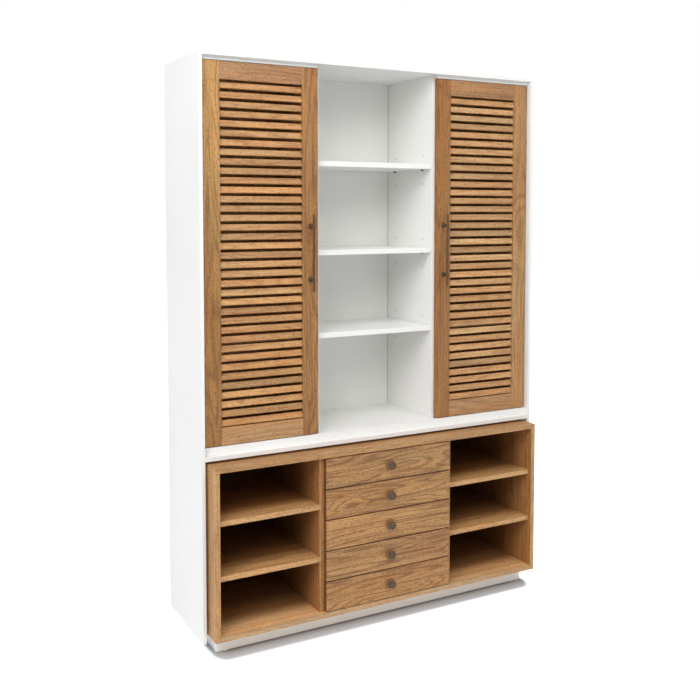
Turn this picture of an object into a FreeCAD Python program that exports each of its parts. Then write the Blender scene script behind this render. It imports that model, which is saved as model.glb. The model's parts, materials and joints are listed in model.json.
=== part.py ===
import FreeCAD, Part
import os
import re

import Sketcher

# Buffet cabinet: a white lacquered carcass on an oak box.
# Above, two louvred oak doors flank an open bay with three white shelves.
# Below, an oak box stands out of the white sides: five drawers between two open bays.
# X runs to the right, -Y is the front and +Z is up.
# The origin is on the floor, at the middle of the whole width and depth.

document = FreeCAD.newDocument("buffet_cabinet")

# Driving dimensions in millimetres, angles in degrees
SIZES = (
    ("overall_width", 1380, "width over the white sides"),
    ("overall_height", 2005, "height over the top panel"),
    ("white_depth", 360, "depth of the white carcass"),
    ("skin_thick", 12, "white outer sides and top panel"),
    ("back_thick", 6, "back panels"),
    ("oak_reach", 60, "oak box in front of the white front"),
    ("middle_width", 476, "clear width of the open middle bay"),
    ("partition_thick", 18, "white partitions"),
    ("floor_thick", 27, "floor of the upper unit"),
    ("base_top_thick", 15, "board between the lower and upper unit"),
    ("base_side_foot", 40, "lower edge of the white sides above the ground"),
    ("shelf_thick", 18, "white shelves"),
    ("low_shelf_share", 0.26, "underside of the low shelf, as a share of the bay height"),
    ("mid_shelf_share", 0.4877, "underside of the middle shelf, as a share of the bay height"),
    ("high_shelf_share", 0.7307, "underside of the high shelf, as a share of the bay height"),
    ("shelf_end_gap", 1, "shelf end to its neighbour"),
    ("shelf_setback", 2, "middle shelves behind the partition edge"),
    ("closet_setback", 24, "closet shelves behind the partition edge"),
    ("shelf_back_gap", 1, "shelf to the back panel"),
    ("pin_diameter", 5, "shelf pin across its flats"),
    ("pin_sides", 6, "flats round a shelf pin"),
    ("round_sides", 16, "flats round the small round pieces"),
    ("pin_bore_depth", 8, "pin hole in a panel"),
    ("pin_reach", 8, "pin under the shelf"),
    ("pin_front_inset", 60, "front row of pins behind the partition edge"),
    ("pin_back_inset", 58, "back row of pins before the back panel"),
    ("pin_pitch", 52, "step between the three holes of a row"),
    ("door_thick", 18, "door frame"),
    ("door_recess", 18, "door face behind the white front"),
    ("door_stop_gap", 1.5, "door back to the partition edge"),
    ("door_side_gap", 6, "hinge edge to the white side"),
    ("door_overlap", 6, "door over the partition edge"),
    ("door_top_gap", 14, "door to the top panel"),
    ("door_head_gap", 1.5, "door to the strip over it"),
    ("door_foot_gap", 2.5, "door to the floor panel"),
    ("stile_width", 60, "upright of a door frame"),
    ("rail_height", 60, "cross piece of a door frame"),
    ("tenon_length", 35, "rail tenon"),
    ("tenon_thick", 6, "rail tenon"),
    ("tenon_shoulder", 10, "rail edge to its tenon"),
    ("joint_gap", 0.5, "room at the end of a tenon or slat"),
    ("slat_count", 37, "slats in a door"),
    ("slat_width", 22, "slat from edge to edge"),
    ("slat_thick", 6, "slat"),
    ("slat_chamfer", 1, "slat edge"),
    ("slat_angle", 20, "slat leaning back from upright"),
    ("slat_housing", 10, "slot for a slat end in a stile"),
    ("slat_foot_gap", 2, "lowest slat above the bottom rail"),
    ("slat_head_gap", 7, "highest slat below the top rail"),
    ("handle_length", 270, "door handle bar"),
    ("handle_diameter", 8, "door handle bar"),
    ("handle_span", 186, "between the two handle posts"),
    ("handle_reach", 31, "handle in front of the door"),
    ("post_diameter", 6, "handle post"),
    ("post_foot_diameter", 20, "foot of a handle post"),
    ("post_foot_thick", 3, "foot of a handle post"),
    ("cup_diameter", 35, "hinge cup"),
    ("cup_depth", 12, "hinge cup in the door"),
    ("cup_wall", 1.5, "hinge cup"),
    ("cup_edge_inset", 22.5, "middle of the cup from the door edge"),
    ("pivot_edge_inset", 18, "hinge pin from the door edge"),
    ("pivot_face_inset", 13, "hinge pin behind the door face"),
    ("hinge_pin_diameter", 4, "hinge pin"),
    ("hinge_pin_gap", 0.05, "hinge pin in the eye of its arm, on the radius"),
    ("arm_thick", 3, "hinge arm"),
    ("arm_height", 14, "hinge arm"),
    ("arm_eye_width", 7, "square eye of a hinge arm"),
    ("arm_neck_reach", 12.5, "hinge arm beside the pin"),
    ("arm_neck_rise", 25.5, "hinge arm behind the pin"),
    ("arm_plate_length", 55, "mounting plate on the white side"),
    ("hinge_end_inset", 100, "end hinges from the ends of the door"),
    ("hinge_mid_drop", 90, "middle hinge below the middle of the door"),
    ("oak_height", 584, "oak box"),
    ("oak_thick", 18, "oak boards"),
    ("oak_bay_width", 516, "clear width of the drawer bay"),
    ("oak_setback", 19, "oak partitions and shelves behind the oak front"),
    ("oak_groove", 5, "groove for a partition or shelf"),
    ("oak_foot_bay", 178, "clear height of the lowest open bay"),
    ("oak_middle_bay", 168, "clear height of the open bay above it"),
    ("shadow_gap", 9, "oak box to the board over it"),
    ("spacer_thick", 10, "spacer between the oak box and a white side"),
    ("spacer_setback", 24, "spacer behind the white front"),
    ("drawer_count", 5, "drawers"),
    ("drawer_gap", 2.5, "between drawer fronts"),
    ("drawer_overlap", 2, "drawer front over the partition edge"),
    ("drawer_front_thick", 18, "drawer front"),
    ("drawer_box_depth", 340, "drawer box"),
    ("drawer_box_rise", 12, "drawer box above the lower edge of its front"),
    ("drawer_box_drop", 14.6, "drawer box below the upper edge of its front"),
    ("drawer_side_thick", 15, "drawer box sides"),
    ("drawer_end_thick", 12, "drawer box front and back"),
    ("drawer_panel_thick", 6, "drawer bottom"),
    ("drawer_panel_rise", 8, "drawer bottom above the lower edge of its box"),
    ("drawer_side_gap", 1, "drawer box to the partition"),
    ("runner_height", 16, "wooden runner"),
    ("runner_bite", 9, "runner in the groove of a drawer side"),
    ("runner_gap", 0.3, "runner to its groove"),
    ("runner_rise", 32, "runner above the lower edge of the drawer box"),
    ("runner_stop", 24, "groove end behind the drawer front"),
    ("runner_back_gap", 10, "runner end before the oak back"),
    ("knob_diameter", 30, "drawer knob"),
    ("knob_head_thick", 10, "drawer knob"),
    ("knob_stem_diameter", 10, "drawer knob"),
    ("knob_plate_diameter", 40, "plate behind a knob"),
    ("knob_plate_thick", 2, "plate behind a knob"),
    ("knob_reach", 24, "knob in front of the drawer"),
    ("plinth_height", 58, "plinth boards"),
    ("plinth_thick", 18, "plinth boards"),
    ("plinth_side_inset", 45, "plinth from the outer sides"),
    ("plinth_front_inset", 2, "plinth behind the white front"),
    ("plinth_back_inset", 20, "plinth before the back"),
    ("glide_height", 4, "glide under the plinth"),
    ("glide_diameter", 16, "glide"),
    ("glide_inset", 36, "end glides from the ends of the plinth"),
    ("cut_overrun", 2, "cutting tools past the faces that they open"),
)

# Places and lengths that follow from the sizes above
PLACES = (
    ("left_out", "-overall_width / 2"),
    ("left_in", "left_out + skin_thick"),
    ("front", "(oak_reach + knob_reach - white_depth) / 2"),
    ("back", "front + white_depth"),
    ("back_in", "back - back_thick"),
    ("top_under", "overall_height - skin_thick"),
    ("oak_low", "glide_height + plinth_height"),
    ("oak_high", "oak_low + oak_height"),
    ("base_top_low", "oak_high + shadow_gap"),
    ("upper_low", "base_top_low + base_top_thick"),
    ("floor_top", "upper_low + floor_thick"),
    ("upper_side_height", "top_under - upper_low"),
    ("door_front", "front + door_recess"),
    ("door_back", "door_front + door_thick"),
    ("edge_front", "door_back + door_stop_gap"),
    ("edge_depth", "back_in - edge_front"),
    ("bay_left", "-middle_width / 2"),
    ("partition_left", "bay_left - partition_thick"),
    ("partition_height", "top_under - floor_top"),
    ("low_shelf_under", "floor_top + low_shelf_share * partition_height"),
    ("mid_shelf_under", "floor_top + mid_shelf_share * partition_height"),
    ("high_shelf_under", "floor_top + high_shelf_share * partition_height"),
    ("pin_front_y", "edge_front + pin_front_inset"),
    ("pin_back_y", "back_in - pin_back_inset"),
    ("door_low", "floor_top + door_foot_gap"),
    ("door_height", "top_under - door_top_gap - door_low"),
    ("door_left", "left_in + door_side_gap"),
    ("door_right", "partition_left + door_overlap"),
    ("field_left", "door_left + stile_width"),
    ("field_right", "door_right - stile_width"),
    ("slat_sin", "sin(slat_angle * 1 deg)"),
    ("slat_cos", "cos(slat_angle * 1 deg)"),
    ("slat_length", "field_right - field_left + 2 * (slat_housing - joint_gap)"),
    ("slat_rise", "slat_width * slat_cos + slat_thick * slat_sin"),
    ("slat_field", "door_height - 2 * rail_height"),
    ("slat_climb", "slat_field - slat_foot_gap - slat_rise - slat_head_gap"),
    ("cup_x", "door_left + cup_edge_inset"),
    ("cup_front", "door_back - cup_depth"),
    ("pivot_x", "door_left + pivot_edge_inset"),
    ("pivot_y", "door_front + pivot_face_inset"),
    ("hinge_low_rise", "hinge_end_inset"),
    ("hinge_mid_rise", "door_height / 2 - hinge_mid_drop"),
    ("hinge_high_rise", "door_height - hinge_end_inset"),
    ("oak_front", "front - oak_reach"),
    ("oak_left", "left_in + spacer_thick"),
    ("oak_width", "-2 * oak_left"),
    ("oak_depth", "back_in - oak_front"),
    ("oak_in_left", "oak_left + oak_thick"),
    ("oak_in_low", "oak_low + oak_thick"),
    ("oak_in_high", "oak_high - oak_thick"),
    ("oak_edge_front", "oak_front + oak_setback"),
    ("oak_back_front", "back_in - back_thick"),
    ("oak_bay_left", "-oak_bay_width / 2"),
    ("oak_partition_left", "oak_bay_left - oak_thick"),
    ("oak_shelf_low", "oak_in_low + oak_foot_bay"),
    ("oak_shelf_high", "oak_shelf_low + oak_thick + oak_middle_bay"),
    ("drawer_pitch", "(oak_in_high - oak_in_low - drawer_gap) / drawer_count"),
    ("drawer_face_height", "drawer_pitch - drawer_gap"),
    ("drawer_box_height", "drawer_face_height - drawer_box_rise - drawer_box_drop"),
    ("drawer_front_back", "oak_front + drawer_front_thick"),
    ("drawer_box_width", "oak_bay_width - 2 * drawer_side_gap"),
    ("runner_front", "drawer_front_back + runner_stop + runner_gap"),
    ("plinth_left", "left_out + plinth_side_inset"),
    ("plinth_front", "front + plinth_front_inset"),
    ("plinth_back", "back - plinth_back_inset"),
)

SHELVES = ("low", "mid", "high")
HINGES = ("low", "mid", "high")

sheet = document.addObject("Spreadsheet::Sheet", "Sizes")
for row, (alias, value, meaning) in enumerate(SIZES, 1):
    sheet.set(f"A{row}", meaning)
    sheet.set(f"B{row}", str(value))
    sheet.setAlias(f"B{row}", alias)

places = document.addObject("App::FeaturePython", "Places")
OWNERS = {alias: "Sizes." for alias, value, meaning in SIZES}
OWNERS.update({name: "Places." for name, text in PLACES})
WORD = re.compile(r"[a-z][a-z0-9_]*")


def formula(text):
    """Put the owner's name before each size and place in a formula."""
    return WORD.sub(lambda found: OWNERS.get(found.group(), "") + found.group(), text)


def bind(thing, setting, text):
    """Tie one setting of an object to the sizes and places."""
    thing.setExpression(setting, formula(text))


for name, text in PLACES:
    places.addProperty("App::PropertyFloat", name)
    bind(places, name, text)
document.recompute()


def seat(thing, x, y, z):
    """Tie the three coordinates of an object's place."""
    for axis, text in zip("xyz", (x, y, z)):
        bind(thing, f"Placement.Base.{axis}", text)


# Part workbench pieces
nodes = {}


def keep(thing, label):
    """Make an object one of the cabinet's sub-parts."""
    thing.Label = label
    nodes[label] = thing
    return thing


def block(name, x_range, y_range, z_range):
    """A plain rectangular board between three pairs of planes."""
    board = document.addObject("Part::Box", name)
    for setting, (low, high) in zip(("Length", "Width", "Height"), (x_range, y_range, z_range)):
        bind(board, setting, f"({high}) - ({low})")
    seat(board, x_range[0], y_range[0], z_range[0])
    return board


TURNS = {
    "right": FreeCAD.Rotation(FreeCAD.Vector(1, 1, 1), 120),
    "front": FreeCAD.Rotation(FreeCAD.Vector(1, 0, 0), 90),
    "back": FreeCAD.Rotation(FreeCAD.Vector(1, 0, 0), -90),
    "up": FreeCAD.Rotation(),
}


def stud(name, way, width, length, place, sides="round_sides"):
    """A bar with flats round it that points one way from its place."""
    bar = document.addObject("Part::Prism", name)
    bar.Placement.Rotation = TURNS[way]
    bind(bar, "Polygon", sides)
    bind(bar, "Circumradius", f"({width}) / 2 / cos(180 deg / {sides})")
    bind(bar, "Height", length)
    seat(bar, *place)
    return bar


def cut(name, base, tools):
    """One piece with the tools' space taken away."""
    result = document.addObject("Part::Cut", name)
    result.Base = base
    result.Tool = group(f"{name}_tools", tools)
    return result


def fuse(name, first, second):
    """Two shapes made one solid."""
    result = document.addObject("Part::Fuse", name)
    result.Base = first
    result.Tool = second
    return result


def group(name, pieces):
    """Alike pieces that stay separate solids of one sub-part."""
    together = document.addObject("Part::Compound", name)
    together.Links = pieces
    return together


def mirrored(name, source):
    """The right-hand twin of a left-hand piece."""
    twin = document.addObject("Part::Mirroring", name)
    twin.Source = source
    twin.Normal = FreeCAD.Vector(1, 0, 0)
    return twin


def keep_pair(source, label):
    """Keep a left-hand piece and its right-hand twin."""
    keep(source, f"left_{label}")
    keep(mirrored(f"right_{label}_twin", source), f"right_{label}")


# Part Design pieces
def new_body(name, x, y, z):
    """An empty body at its place."""
    body = document.addObject("PartDesign::Body", name)
    seat(body, x, y, z)
    return body


def plane(body, role):
    """One of the body's own origin planes or axes."""
    return next(item for item in body.Origin.OriginFeatures if item.Role == role)


def new_sketch(body, name, role, offset="0"):
    """An empty sketch on an origin plane, moved along the plane's normal."""
    sketch = body.newObject("Sketcher::SketchObject", name)
    sketch.AttachmentSupport = [(plane(body, role), "")]
    sketch.MapMode = "FlatFace"
    if offset != "0":
        bind(sketch, "AttachmentOffset.Base.z", offset)
    return sketch


def pin_point(sketch, item, end, x, y, tag):
    """Hold one point of a sketch at a bound place."""
    for text, kind, axis_line in ((x, "DistanceX", -2), (y, "DistanceY", -1)):
        if text == "0":
            sketch.addConstraint(Sketcher.Constraint("PointOnObject", item, end, axis_line))
            continue
        constraint = sketch.addConstraint(Sketcher.Constraint(kind, -1, 1, item, end, 1.0))
        label = f"{tag}_{kind}"
        sketch.renameConstraint(constraint, label)
        bind(sketch, f"Constraints.{label}", text)


def outline(sketch, points):
    """A closed outline of straight lines through bound points."""
    count = len(points)
    first = sketch.GeometryCount
    for index in range(count):
        start = FreeCAD.Vector(index + 1, (index + 1) ** 2, 0)
        end = FreeCAD.Vector(index + 2, (index + 2) ** 2, 0)
        sketch.addGeometry(Part.LineSegment(start, end), False)
    for index in range(count):
        after = first + (index + 1) % count
        sketch.addConstraint(Sketcher.Constraint("Coincident", first + index, 2, after, 1))
    for index, (x, y) in enumerate(points):
        pin_point(sketch, first + index, 1, x, y, f"corner_{first}_{index}")


def rectangle(sketch, x_range, y_range):
    """A rectangle between two pairs of bound lines."""
    (left, right), (low, high) = x_range, y_range
    outline(sketch, ((left, low), (right, low), (right, high), (left, high)))


def circle(sketch, x, y, diameter):
    """A circle with a bound middle and size."""
    centre = FreeCAD.Vector(1, 1, 0)
    normal = FreeCAD.Vector(0, 0, 1)
    item = sketch.addGeometry(Part.Circle(centre, normal, 1.0), False)
    pin_point(sketch, item, 3, x, y, f"middle_{item}")
    constraint = sketch.addConstraint(Sketcher.Constraint("Diameter", item, 2.0))
    label = f"size_{item}"
    sketch.renameConstraint(constraint, label)
    bind(sketch, f"Constraints.{label}", diameter)


def pad(body, sketch, length, name, reverse=False, midplane=False):
    """Material from a sketch."""
    feature = body.newObject("PartDesign::Pad", name)
    feature.Profile = sketch
    feature.Reversed = reverse
    if midplane:
        feature.SideType = "Symmetric"
    bind(feature, "Length", length)
    return feature


def pocket(body, sketch, length, name, reverse=False):
    """A cut from a sketch."""
    feature = body.newObject("PartDesign::Pocket", name)
    feature.Profile = sketch
    feature.Reversed = reverse
    bind(feature, "Length", length)
    return feature


def revolve(body, sketch, name):
    """A turned form round the sketch's upright axis."""
    feature = body.newObject("PartDesign::Revolution", name)
    feature.Profile = sketch
    feature.ReferenceAxis = (sketch, ["V_Axis"])
    feature.Angle = 360.0
    return feature


def repeat_up(body, feature, length, count, name):
    """Copies of a feature up the body's own Z axis."""
    pattern = body.newObject("PartDesign::LinearPattern", name)
    pattern.Originals = [feature]
    pattern.Direction = (plane(body, "Z_Axis"), [""])
    bind(pattern, "Length", length)
    bind(pattern, "Occurrences", count)
    body.Tip = pattern
    return pattern


def count_of(alias):
    """A size that is a whole number of things."""
    return int(float(sheet.get(alias)))


# White carcass of the upper unit
PIN_ROWS = ("pin_front_y", "pin_back_y")


def shelf_pin(name, length, x, row, shelf, step="0"):
    """A pin along X with one flat up, or its hole, some steps from the shelf's own place."""
    height = f"{shelf}_shelf_under - pin_diameter / 2 + ({step}) * pin_pitch"
    return stud(name, "right", "pin_diameter", length, (x, row, height), "pin_sides")


def pin_holes(panel, x, depth, steps):
    """Holes for the pins of all three shelves in one face of a panel."""
    holes = []
    for shelf in SHELVES:
        for row in PIN_ROWS:
            for step in steps:
                name = f"{panel}_{shelf}_{row}_{len(holes)}"
                holes.append(shelf_pin(name, depth, x, row, shelf, step))
    return holes


def upper_carcass():
    full = ("left_out", "-left_out")
    inner = ("left_in", "-left_in")
    depth = ("front", "back")
    board = block("top_board", full, depth, ("top_under", "overall_height"))
    strip = block("head_strip", ("left_in", "door_right"), ("door_front", "door_back"),
                  ("top_under - door_top_gap + door_head_gap", "top_under"))
    strips = group("head_strips", [strip, mirrored("head_strip_twin", strip)])
    keep(fuse("top_with_strips", board, strips), "top_panel")

    side = block("upper_side_board", ("left_out", "left_in"), depth, ("upper_low", "top_under"))
    bore = "pin_bore_depth + cut_overrun"
    holes = pin_holes("upper_side", "left_in - pin_bore_depth", bore, ("0",))
    keep_pair(cut("upper_side", side, holes), "upper_side")

    floor_depth = ("door_front", "back_in")
    keep(block("floor_board", inner, floor_depth, ("upper_low", "floor_top")), "upper_floor")

    wall = block("partition_board", ("partition_left", "bay_left"), ("edge_front", "back_in"),
                 ("floor_top", "top_under"))
    holes = pin_holes("closet_face", "partition_left - cut_overrun", bore, ("0",))
    holes += pin_holes("bay_face", "bay_left - pin_bore_depth", bore, ("-1", "0", "1"))
    keep_pair(cut("partition", wall, holes), "partition")

    keep(block("back_board", inner, ("back_in", "back"), ("upper_low", "top_under")), "upper_back")


def white_shelves():
    bay = ("bay_left + shelf_end_gap", "-bay_left - shelf_end_gap")
    closet = ("left_in + shelf_end_gap", "partition_left - shelf_end_gap")
    back = "back_in - shelf_back_gap"
    closet_shelves = []
    for shelf in SHELVES:
        heights = (f"{shelf}_shelf_under", f"{shelf}_shelf_under + shelf_thick")
        board = block(f"{shelf}_bay_board", bay, ("edge_front + shelf_setback", back), heights)
        keep(board, f"middle_shelf_{shelf}")
        board = block(f"{shelf}_closet_board", closet, ("edge_front + closet_setback", back), heights)
        closet_shelves += [board, mirrored(f"{shelf}_closet_board_twin", board)]
    keep(group("closet_boards", closet_shelves), "closet_shelves")


def shelf_pins():
    pins = []
    starts = {
        "side": "left_in - pin_bore_depth",
        "wall": "partition_left - pin_reach",
        "bay": "bay_left - pin_bore_depth",
    }
    for shelf in SHELVES:
        for place, start in starts.items():
            for row in PIN_ROWS:
                name = f"{shelf}_{place}_{row}"
                pin = shelf_pin(name, "pin_bore_depth + pin_reach", start, row, shelf)
                pins += [pin, mirrored(f"{name}_twin", pin)]
    keep(group("pins", pins), "shelf_pins")


# White board, sides and spacers of the lower unit
def base_carcass():
    depth = ("front", "back")
    top = block("base_board", ("left_out", "-left_out"), depth, ("base_top_low", "upper_low"))
    keep(top, "base_top")
    side = block("base_side_board", ("left_out", "left_in"), depth, ("base_side_foot", "base_top_low"))
    keep_pair(side, "base_side")
    spacer_depth = ("front + spacer_setback", "back_in")
    spacer = block("spacer", ("left_in", "oak_left"), spacer_depth, ("oak_low", "oak_high"))
    keep(group("spacers", [spacer, mirrored("spacer_twin", spacer)]), "oak_spacers")


def plinth():
    height = ("glide_height", "oak_low")
    long = ("plinth_left", "-plinth_left")
    front = block("plinth_front_board", long, ("plinth_front", "plinth_front + plinth_thick"), height)
    back = block("plinth_back_board", long, ("plinth_back - plinth_thick", "plinth_back"), height)
    between = ("plinth_front + plinth_thick", "plinth_back - plinth_thick")
    end = block("plinth_end", ("plinth_left", "plinth_left + plinth_thick"), between, height)
    keep(group("plinth_boards", [front, back, end, mirrored("plinth_end_twin", end)]), "plinth")

    glides = []
    rows = {"front": "plinth_front + plinth_thick / 2", "back": "plinth_back - plinth_thick / 2"}
    for row, y in rows.items():
        place = ("plinth_left + glide_inset", y, "0")
        glide = stud(f"{row}_glide", "up", "glide_diameter", "glide_height", place)
        glides += [glide, mirrored(f"{row}_glide_twin", glide)]
    keep(group("glide_set", glides), "glides")


# Oak box with mitred corners
def oak_ends():
    """Outer and inner length of the mitred long boards, from their left end."""
    return "oak_width", "oak_thick", "oak_width - oak_thick"


def mitred_long_board(name, label, low, groove_low, points):
    """Top or bottom board with a groove for each partition."""
    board = new_body(name, "oak_left", "oak_front", low)
    face = new_sketch(board, f"{name}_face", "XZ_Plane")
    outline(face, points)
    pad(board, face, "oak_depth", f"{name}_board", True)
    groove = new_sketch(board, f"{name}_grooves", "XZ_Plane", "-oak_setback")
    heights = (groove_low, f"{groove_low} + oak_groove")
    for left in ("oak_partition_left", "-oak_bay_left"):
        rectangle(groove, (f"{left} - oak_left", f"{left} - oak_left + oak_thick"), heights)
    pocket(board, groove, "oak_back_front - oak_edge_front", f"{name}_slots")
    keep(board, label)


def oak_shell():
    full, start, end = oak_ends()
    top_points = ((start, "0"), (end, "0"), (full, "oak_thick"), ("0", "oak_thick"))
    mitred_long_board("oak_lid", "oak_top", "oak_in_high", "0", top_points)
    low_points = (("0", "0"), (full, "0"), (end, "oak_thick"), (start, "oak_thick"))
    groove_low = "oak_thick - oak_groove"
    mitred_long_board("oak_base", "oak_bottom", "oak_low", groove_low, low_points)

    side = new_body("oak_cheek", "oak_left", "oak_front", "oak_low")
    face = new_sketch(side, "cheek_face", "XZ_Plane")
    points = (
        ("0", "0"),
        ("oak_thick", "oak_thick"),
        ("oak_thick", "oak_height - oak_thick"),
        ("0", "oak_height"),
    )
    outline(face, points)
    pad(side, face, "oak_depth", "cheek_board", True)
    groove = new_sketch(side, "cheek_grooves", "XZ_Plane", "-oak_setback")
    for low in ("oak_shelf_low", "oak_shelf_high"):
        depth = ("oak_thick - oak_groove", "oak_thick")
        rectangle(groove, depth, (f"{low} - oak_low", f"{low} - oak_low + oak_thick"))
    pocket(side, groove, "oak_back_front - oak_edge_front", "cheek_slots")
    keep_pair(side, "oak_side")

    back = block("oak_back_board", ("oak_in_left", "-oak_in_left"),
                 ("oak_back_front", "back_in"), ("oak_in_low", "oak_in_high"))
    keep(back, "oak_back")


def oak_inside():
    depth = ("oak_edge_front", "oak_back_front")
    tools = []
    for name, low in (("low", "oak_shelf_low"), ("high", "oak_shelf_high")):
        groove_width = ("oak_partition_left - cut_overrun", "oak_partition_left + oak_groove")
        groove_depth = ("oak_edge_front - cut_overrun", "oak_back_front + cut_overrun")
        tools.append(block(f"{name}_shelf_groove", groove_width, groove_depth, (low, f"{low} + oak_thick")))
        width = ("oak_in_left - oak_groove", "oak_partition_left + oak_groove")
        shelf = block(f"{name}_oak_board", width, depth, (low, f"{low} + oak_thick"))
        keep_pair(shelf, f"oak_shelf_{name}")
    height = ("oak_in_low - oak_groove", "oak_in_high + oak_groove")
    wall = block("oak_wall_board", ("oak_partition_left", "oak_bay_left"), depth, height)
    keep_pair(cut("oak_wall", wall, tools), "oak_partition")


# Drawers on wooden runners
def drawer_low(index):
    """Lower edge of a drawer front, counted from the bottom."""
    return f"oak_in_low + drawer_gap + ({index}) * drawer_pitch"


def drawer_box(index):
    low = f"{drawer_low(index)} + drawer_box_rise"
    tray = new_body(f"tray_{index}", "-drawer_box_width / 2", "drawer_front_back", low)
    foot = new_sketch(tray, f"tray_{index}_foot", "XY_Plane")
    rectangle(foot, ("0", "drawer_box_width"), ("0", "drawer_box_depth"))
    pad(tray, foot, "drawer_box_height", f"tray_{index}_block")
    inside = (
        ("drawer_side_thick", "drawer_box_width - drawer_side_thick"),
        ("drawer_end_thick", "drawer_box_depth - drawer_end_thick"),
    )
    well = new_sketch(tray, f"tray_{index}_well", "XY_Plane", "drawer_box_height")
    rectangle(well, *inside)
    well_depth = "drawer_box_height - drawer_panel_rise - drawer_panel_thick"
    pocket(tray, well, well_depth, f"tray_{index}_inside")
    under = new_sketch(tray, f"tray_{index}_under", "XY_Plane")
    rectangle(under, *inside)
    pocket(tray, under, "drawer_panel_rise", f"tray_{index}_underside", True)
    slots = new_sketch(tray, f"tray_{index}_slots", "XZ_Plane", "-runner_stop")
    heights = ("runner_rise - runner_gap", "runner_rise + runner_height + runner_gap")
    bite = "runner_bite + runner_gap"
    rectangle(slots, ("0", bite), heights)
    rectangle(slots, (f"drawer_box_width - ({bite})", "drawer_box_width"), heights)
    pocket(tray, slots, "drawer_box_depth - runner_stop", f"tray_{index}_grooves")
    return tray


def knob(index):
    """Round head on a stem with a thin plate behind."""
    height = f"{drawer_low(index)} + drawer_face_height / 2"
    stem_length = "(knob_reach - knob_head_thick)"
    face = ("0", "oak_front", height)
    stem = stud(f"knob_{index}_stem", "front", "knob_stem_diameter", stem_length, face)
    plate = stud(f"knob_{index}_plate", "front", "knob_plate_diameter", "knob_plate_thick", face)
    head = stud(f"knob_{index}_head", "front", "knob_diameter", "knob_head_thick",
                ("0", f"oak_front - {stem_length}", height))
    return fuse(f"knob_{index}", head, fuse(f"knob_{index}_foot", stem, plate))


def drawers():
    runners = []
    for index in range(count_of("drawer_count")):
        number = index + 1
        low = drawer_low(index)
        width = ("oak_bay_left - drawer_overlap", "-oak_bay_left + drawer_overlap")
        depth = ("oak_front", "drawer_front_back")
        front = block(f"face_{number}", width, depth, (low, f"{low} + drawer_face_height"))
        keep(front, f"drawer_{number}_front")
        keep(drawer_box(index), f"drawer_{number}_box")
        keep(knob(index), f"drawer_{number}_knob")
        runner_low = f"{low} + drawer_box_rise + runner_rise"
        runner_width = ("oak_bay_left", "oak_bay_left + drawer_side_gap + runner_bite")
        runner_depth = ("runner_front", "oak_back_front - runner_back_gap")
        heights = (runner_low, f"{runner_low} + runner_height")
        runner = block(f"runner_{number}", runner_width, runner_depth, heights)
        runners += [runner, mirrored(f"runner_{number}_twin", runner)]
    keep(group("runners", runners), "drawer_runners")


# Louvred doors
def slat_profile(chamfer):
    """Corners of a leaning slat, or of its slot, round the slat's middle; front corners chamfered."""
    corners = []
    long, thick = "slat_width / 2", "slat_thick / 2"
    turns = ((1, 1), (-1, 1), (-1, -1), (1, -1))
    for along, across in turns:
        ends = [(f"({long} - {chamfer})", thick), (long, f"({thick} - {chamfer})")]
        if chamfer == "0" or across > 0:
            ends = [(long, thick)]
        if along * across > 0:
            ends.reverse()
        for run, rise in ends:
            y = f"door_thick / 2 + ({along}) * {run} * slat_sin + ({across}) * {rise} * slat_cos"
            z = (f"rail_height + slat_foot_gap + slat_rise / 2 + ({along}) * {run} * slat_cos"
                 f" - ({across}) * {rise} * slat_sin")
            corners.append((y, z))
    return corners


def mortise(sketch, low):
    """Slot for a rail's tenon."""
    depth = ("(door_thick - tenon_thick) / 2", "(door_thick + tenon_thick) / 2")
    heights = (f"{low} + tenon_shoulder", f"{low} + rail_height - tenon_shoulder")
    rectangle(sketch, depth, heights)


def stile(name, x, slots_face_right):
    """Upright with its slat slots and mortises on one edge."""
    body = new_body(name, x, "door_front", "door_low")
    foot = new_sketch(body, f"{name}_foot", "XY_Plane")
    rectangle(foot, ("0", "stile_width"), ("0", "door_thick"))
    pad(body, foot, "door_height", f"{name}_board")

    def edge_sketch(part, depth):
        start = f"stile_width - {depth}" if slots_face_right else depth
        return new_sketch(body, f"{name}_{part}", "YZ_Plane", start)

    mortises = edge_sketch("mortises", "tenon_length")
    mortise(mortises, "0")
    mortise(mortises, "door_height - rail_height")
    pocket(body, mortises, "tenon_length", f"{name}_mortise_cut", slots_face_right)
    slot = edge_sketch("slot", "slat_housing")
    outline(slot, slat_profile("0"))
    first = pocket(body, slot, "slat_housing", f"{name}_slot_cut", slots_face_right)
    repeat_up(body, first, "slat_climb", "slat_count", f"{name}_slots")
    return body


def cup_space(name, hinge, inset="0", overrun="0"):
    """The round space of a hinge cup, made smaller by an inset all round and at its floor."""
    length = f"cup_depth - ({inset}) + ({overrun})"
    place = ("cup_x", f"cup_front + {inset}", f"door_low + hinge_{hinge}_rise")
    return stud(name, "back", f"cup_diameter - 2 * ({inset})", length, place)


def rail(name, low):
    """Cross piece with a tenon at each end."""
    middle = block(f"{name}_board", ("field_left", "field_right"),
                   ("door_front", "door_back"), (low, f"{low} + rail_height"))
    reach = "(tenon_length - joint_gap)"
    tenon_depth = (
        "door_front + (door_thick - tenon_thick) / 2",
        "door_back - (door_thick - tenon_thick) / 2",
    )
    tenon_height = (f"{low} + tenon_shoulder", f"{low} + rail_height - tenon_shoulder")
    tenon = block(f"{name}_tenon", (f"field_left - {reach}", f"field_right + {reach}"),
                  tenon_depth, tenon_height)
    return fuse(name, middle, tenon)


def slats():
    """All slats of one door, each a solid of its own."""
    start = "field_left - slat_housing + joint_gap"
    body = new_body("slat_set", start, "door_front", "door_low")
    body.AllowCompound = True
    profile = new_sketch(body, "slat_section", "YZ_Plane")
    outline(profile, slat_profile("slat_chamfer"))
    first = pad(body, profile, "slat_length", "slat")
    repeat_up(body, first, "slat_climb", "slat_count", "slat_rows")
    return body


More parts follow.
